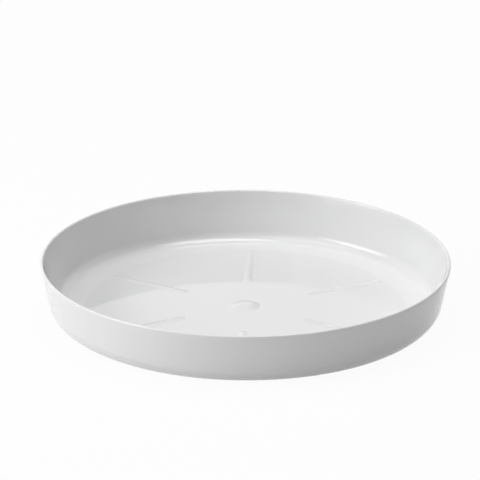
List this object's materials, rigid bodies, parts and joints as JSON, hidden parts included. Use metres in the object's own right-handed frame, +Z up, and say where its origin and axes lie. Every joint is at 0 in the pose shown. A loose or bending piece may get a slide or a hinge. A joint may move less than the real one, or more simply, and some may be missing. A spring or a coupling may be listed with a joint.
{
  "type": "plant saucer",
  "caption": "Round white plastic plant saucer with a drafted wall, rounded corner and rim, radial drainage ribs and a low boss in the floor. A pot stands in it and it catches the water.",
  "frame": {"origin": "middle of the standing face, under the saucer", "axes": "+Z up along the axis of revolution, +Y along one of the ribs"},
  "size_m": [0.28, 0.28, 0.0373],
  "materials": {
    "white_plastic": "moulded white polypropylene, smooth and glossy"
  },
  "bodies": {
    "root": {"dish": "white_plastic", "centre_boss": "white_plastic", "rib_1": "white_plastic", "rib_2": "white_plastic", "rib_3": "white_plastic", "rib_4": "white_plastic", "rib_5": "white_plastic", "rib_6": "white_plastic"}
  },
  "joints": []
}
